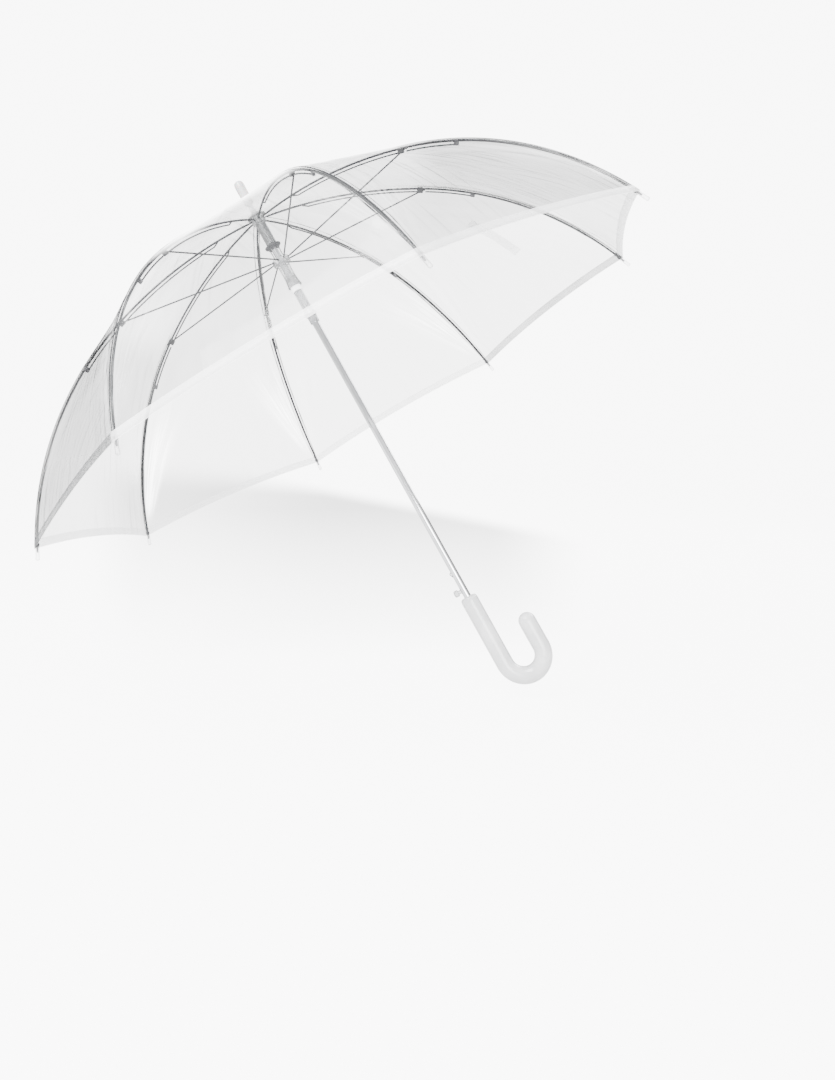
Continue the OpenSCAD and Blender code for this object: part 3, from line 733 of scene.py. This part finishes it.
# ---------------------------------------------------------------- runner dressing
ring = lathe("white_ring", [(5.5, 551.7), (7.0, 551.7), (7.4, 552.1), (7.5, 553.4), (7.25, 554.2), (7.25, 556.8), (7.5, 557.6), (7.5, 558.6), (7.1, 559.1), (5.5, 559.1), (5.5, 551.7)], WHITE)
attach(ring, "runner")
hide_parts("runner_ring")
skirt = lathe("runner_skirt", [(8.6, 578.0), (8.9, 572.0), (9.6, 566.0), (10.6, 560.2), (10.9, 559.5), (10.5, 559.5), (9.2, 566.0), (8.5, 572.0), (8.4, 577.0), (8.6, 578.0)], CLEAR)
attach(skirt, "runner")
collar = lathe("runner_collar", [(6.25, 497.0), (6.7, 496.9), (6.9, 498.2), (6.9, 505.5), (7.4, 508.2), (8.7, 510.6), (8.9, 512.4), (8.2, 515.0), (7.2, 518.4), (6.9, 520.5), (6.72, 520.5), (6.72, 518.0)], CLEAR)
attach(collar, "runner")

# ---------------------------------------------------------------- end cap, hub washer
cap = lathe("end_cap", [(4.05, 705.0), (6.3, 705.0), (6.8, 705.5), (6.85, 708.0), (6.6, 708.8), (6.7, 710.4), (7.2, 722.0), (7.45, 733.0), (7.35, 738.0), (6.9, 741.2), (6.0, 743.4), (4.4, 744.6), (2.2, 745.0), (0.0, 745.0)], CAP)
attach(cap, "shaft")
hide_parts("ferrule_cap")
washer = lathe("film_washer", [(5.1, 682.2), (13.6, 682.0), (14.2, 682.4), (14.2, 683.0), (13.6, 683.5), (9.8, 684.0), (7.7, 686.0), (6.9, 688.4), (5.3, 688.8), (5.1, 688.4), (5.1, 682.2)], CLEAR)
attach(washer, "shaft")

# ---------------------------------------------------------------- handle
path, radii = [], []
for z, r in ((51.0, 9.6), (50.4, 10.6), (49.2, 11.4), (47.4, 11.85), (45.0, 12.0), (40.0, 12.0), (20.0, 12.0), (0.0, 12.0), (-25.0, 12.0), (-44.0, 12.0)):
    path.append((0.0, z)); radii.append(r)
for i in range(0, 33):
    a = math.pi * i / 32
    path.append((27.5 - 27.5 * math.cos(a), -50.5 - 27.5 * math.sin(a))); radii.append(12.0)
for z, r in ((-44.0, 12.0), (-30.0, 12.0), (-17.0, 12.0), (-14.5, 11.98)):
    path.append((55.0, z)); radii.append(r)
for i in range(1, 10):
    a = math.pi / 2 * i / 9.2
    path.append((55.0, -14.5 + 12.0 * math.sin(a))); radii.append(12.0 * math.cos(a))
handle = tube("j_handle", [Vector((x * MM, 0, z * MM)) for x, z in path], radii, HANDLE, 40)
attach(handle, "shaft")
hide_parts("handle")
bezel = lathe("handle_mouth", [(5.05, 50.0), (9.2, 50.0), (9.6, 50.8), (9.1, 51.5), (7.2, 51.7), (5.4, 51.5), (5.05, 50.9), (5.05, 50.0)], HANDLE)
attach(bezel, "shaft")

# ---------------------------------------------------------------- push button
m = Matrix.Rotation(math.radians(90), 4, "Y")
m.translation = Vector((0, 0, 0.062))
BUTTON = clear_plastic("clear_button", (0.30, 0.305, 0.31), (0.62, 0.63, 0.64), (0.02, 0.021, 0.023), 0.42, 0.62, 0.9)
button = lathe("push_button_cap", [(0.0, -15.2), (2.4, -15.1), (3.7, -14.7), (4.4, -14.0), (4.6, -13.0), (4.6, -9.4), (4.3, -9.0), (2.6, -9.0), (2.6, -4.2), (0.0, -4.2)], BUTTON, m, 40)
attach(button, "push_button")
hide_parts("push_button")

# ---------------------------------------------------------------- catch above the button: a bent spring wire
pts = []
for x, z in ((-3.3, 45.2), (-3.3, 60), (-3.3, 79), (-3.5, 81.5), (-4.6, 84), (-6.0, 86.6), (-6.7, 88.2), (-6.8, 89.4), (-6.0, 90.3), (-4.6, 91.2), (-3.5, 92.6), (-3.3, 93.8)):
    pts.append(Vector((x * MM, 0, z * MM)))
catch = tube("catch_wire", pts, 0.55, STRETCH, 12)
catch_b = tube("b", [q + Vector((0, 0.0011, 0)) for q in pts], 0.45, STRETCH, 12)
catch_c = tube("c", [q - Vector((0, 0.0011, 0)) for q in pts], 0.45, STRETCH, 12)
catch = weld("catch_wire_set", [catch, catch_b, catch_c])
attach(catch, "catch_spring")
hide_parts("catch_spring")

# ---------------------------------------------------------------- closing strap
sv, sf, cols = [], [], [(-1, -8.0), (-1, -7.4), (0, 0.0), (1, 7.4), (1, 8.0)]
N = 26
for side_off in (0.3, 1.1):
    for j in range(N + 1):
        t = 2 - (0.66 - 0.30 * j / N)
        for _, dx in cols:
            r = rib_rz(t)[0]
            gore = 2 * r * math.sin(math.radians(HALF))
            w = 0.5 + (-60.0 + dx) / gore
            ends = 0.0 if 0 < j < N else -0.25
            lift = 1.2 * math.sin(math.pi * j / N)
            sv.append(film_pt(6, t, w, 1, FILM_OFF + side_off + 0.4 + lift + ends))
nc = len(cols)
for layer in (0, 1):
    b = layer * (N + 1) * nc
    for j in range(N):
        for i in range(nc - 1):
            q = (b + j * nc + i, b + j * nc + i + 1, b + (j + 1) * nc + i + 1, b + (j + 1) * nc + i)
            sf.append(q if layer else q[::-1])
off = (N + 1) * nc
edge = [j * nc for j in range(N + 1)] + [N * nc + i for i in range(1, nc)] + [j * nc + nc - 1 for j in range(N - 1, -1, -1)] + [i for i in range(nc - 2, 0, -1)]
for i in range(len(edge)):
    a, b = edge[i], edge[(i + 1) % len(edge)]
    sf.append((a, b, b + off, a + off))
strap = make("tie_strap", sv, sf, STRAP)
merge(strap)
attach(strap, "rib_outer_6")
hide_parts("closure_strap")
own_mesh(strap)
t = 2 - 0.40
r = rib_rz(t)[0]
w = 0.5 - 60.0 / (2 * r * math.sin(math.radians(HALF)))
c0, c1 = film_pt(6, t, w, 1, FILM_OFF + 1.6), film_pt(6, t, w, 1, FILM_OFF + 3.6)
zdir = (c1 - c0).normalized()
xdir = zdir.orthogonal().normalized()
m = Matrix((xdir, zdir.cross(xdir), zdir)).transposed().to_4x4()
m.translation = c0
snap = lathe("strap_snap", [(0.0, 0.0), (4.3, 0.0), (4.5, 0.5), (4.2, 1.2), (3.0, 1.5), (2.4, 1.4), (2.0, 2.3), (1.2, 2.7), (0.0, 2.8)], WHITE, m, 36)
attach(snap, "rib_outer_6")
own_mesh(snap)

# ---------------------------------------------------------------- camera
cam_data = bpy.data.cameras.new("camera")
cam = bpy.data.objects.new("camera", cam_data)
bpy.context.scene.collection.objects.link(cam)
right = Vector((0.854983, 0.200664, -0.478266))
up = Vector((0.502477, -0.091948, 0.859687))
fwd = Vector((-0.128533, 0.975335, 0.179444))
m = Matrix((right, up, -fwd)).transposed().to_4x4()
m.translation = Vector((0.18849, -1.43032, 0.11685))
cam.matrix_world = m
cam_data.sensor_width = 36.0
cam_data.lens = 1022.26 / 1080 * 36.0
cam_data.shift_x = (417.5 - 353.76) / 1080
cam_data.shift_y = -(540 - 391.63) / 1080
cam_data.clip_end = 60
bpy.context.scene.camera = cam

# ---------------------------------------------------------------- floor, light, world
CENTRE = Vector((0.0, 0.0, 0.42))


def from_view(a, b, c):
    """Point given by steps to the right, up and away as the camera sees them, from the middle of the object."""
    return CENTRE + right * a + up * b + fwd * c


# where the floor lies, and the place over it from which it is seen
fmat = Matrix((right, fwd, up)).transposed().to_4x4()
fmat.translation = CENTRE + up * (-0.088 - CENTRE.dot(up)) + fwd * 0.35 + right * 0.1
spot = fmat.inverted() @ cam.matrix_world.translation
ASIDE, NEAR, DROP = -spot.x, -spot.y, spot.z
fm, nt, p = new_mat("pale_floor")
tc = nt.nodes.new("ShaderNodeTexCoord")
f = noise(nt, tc.outputs["Object"], 3.0, 2.0)
nt.links.new(colour_mix(nt, f, (0.29, 0.29, 0.29), (0.31, 0.31, 0.31)), p.inputs["Base Color"])
p.inputs["Roughness"].default_value = 0.9
p.inputs["Specular IOR Level"].default_value = 0.0
p.inputs["Emission Color"].default_value = (1, 1, 1, 1)
# painted shadow of the canopy, soft: sharp along its far edge, fading towards the near side and the right
sep = nt.nodes.new("ShaderNodeSeparateXYZ")
nt.links.new(tc.outputs["Object"], sep.inputs[0])
near = maths(nt, "ADD", sep.outputs[1], NEAR)
col = maths(nt, "DIVIDE", maths(nt, "ADD", sep.outputs[0], ASIDE), near)
row = maths(nt, "DIVIDE", DROP, near)
edge = maths(nt, "SUBTRACT", row, maths(nt, "ADD", 0.0983, maths(nt, "MULTIPLY", col, 0.198)))
edge = maths(nt, "DIVIDE", edge, maths(nt, "ADD", 1.0, maths(nt, "MULTIPLY", maths(nt, "MAXIMUM", maths(nt, "SUBTRACT", -0.03, col), 0.0), 14.0)))
shadow = maths(nt, "MULTIPLY", span(nt, edge, -0.003, 0.012), span(nt, row, 0.262, 0.115, 0.0, 1.0, False))
shadow = maths(nt, "MULTIPLY", shadow, span(nt, col, 0.245, 0.13))
shadow = maths(nt, "MULTIPLY", shadow, span(nt, col, -0.27, -0.20))
shadow = maths(nt, "MULTIPLY", shadow, span(nt, col, -0.24, 0.0, 0.6, 1.0))
seen = nt.nodes.new("ShaderNodeLightPath")
dim = maths(nt, "MULTIPLY", FLOOR_GLOW, maths(nt, "SUBTRACT", 1.0, maths(nt, "MULTIPLY", shadow, 0.68)))
nt.links.new(maths(nt, "MULTIPLY", dim, span(nt, seen.outputs["Is Camera Ray"], 0.0, 1.0, 0.22, 1.0, False)), p.inputs["Emission Strength"])
grad = nt.nodes.new("ShaderNodeTexGradient")
grad.gradient_type = "SPHERICAL"
mp = nt.nodes.new("ShaderNodeMapping")
mp.inputs["Scale"].default_value = (0.19, 0.19, 0.19)
nt.links.new(tc.outputs["Object"], mp.inputs["Vector"])
nt.links.new(mp.outputs[0], grad.inputs["Vector"])
nt.links.new(span(nt, grad.outputs["Fac"], 0.03, 0.55), p.inputs["Alpha"])
n = 96
fv = [Vector((0, 0, 0))] + [Vector((5.2 * math.cos(2 * math.pi * i / n), 5.2 * math.sin(2 * math.pi * i / n), 0)) for i in range(n)]
floor = make("floor", fv, [(0, i + 1, (i + 1) % n + 1) for i in range(n)], fm, False)
floor.matrix_world = fmat

world = bpy.data.worlds.new("studio")
bpy.context.scene.world = world
world.use_nodes = True
wt = world.node_tree
bg = wt.nodes["Background"]
tc = wt.nodes.new("ShaderNodeTexCoord")
side_mask = wt.nodes.new("ShaderNodeVectorMath")
side_mask.operation = "DOT_PRODUCT"
side_mask.inputs[1].default_value = tuple((-right * 0.55 + up * 0.6 - fwd * 0.6).normalized())
wt.links.new(tc.outputs["Generated"], side_mask.inputs[0])
low = span(wt, side_mask.outputs["Value"], -0.7, 0.7, 0.35, 2.0)
# a dark backdrop and a dark card at one side draw the edges of plated and clear pieces
card = wt.nodes.new("ShaderNodeVectorMath")
card.operation = "DOT_PRODUCT"
card.inputs[1].default_value = tuple(fwd)
wt.links.new(tc.outputs["Generated"], card.inputs[0])
flank = wt.nodes.new("ShaderNodeVectorMath")
flank.operation = "DOT_PRODUCT"
flank.inputs[1].default_value = tuple((right * 0.85 - up * 0.1 - fwd * 0.5).normalized())
wt.links.new(tc.outputs["Generated"], flank.inputs[0])
dark = maths(wt, "MAXIMUM", maths(wt, "MULTIPLY", span(wt, card.outputs["Value"], 0.2, 0.7), 0.97), maths(wt, "MULTIPLY", span(wt, flank.outputs["Value"], 0.78, 0.93), 0.9))
lit = maths(wt, "MULTIPLY", low, maths(wt, "SUBTRACT", 1.0, dark))
path = wt.nodes.new("ShaderNodeLightPath")
mixer = wt.nodes.new("ShaderNodeMix")
mixer.data_type = "FLOAT"
wt.links.new(path.outputs["Is Camera Ray"], mixer.inputs["Factor"])
wt.links.new(lit, mixer.inputs["A"])
mixer.inputs["B"].default_value = 8.8
wt.links.new(mixer.outputs["Result"], bg.inputs["Strength"])
bg.inputs["Color"].default_value = (1, 1, 1, 1)


def area_light(name, place, look, size, power):
    d = bpy.data.lights.new(name, "AREA")
    d.shape = "RECTANGLE"
    d.size, d.size_y = size
    d.energy = power
    o = bpy.data.objects.new(name, d)
    bpy.context.scene.collection.objects.link(o)
    o.location = place
    o.rotation_euler = (Vector(look) - Vector(place)).to_track_quat("-Z", "Y").to_euler()
    return o


area_light("key", from_view(-1.1, 1.7, -1.2), CENTRE, (1.3, 1.3), 190)
area_light("rim", from_view(1.4, 1.2, 1.3), CENTRE, (1.0, 1.4), 60)
area_light("front", from_view(0.5, 0.1, -2.0), CENTRE, (1.2, 0.8), 50)
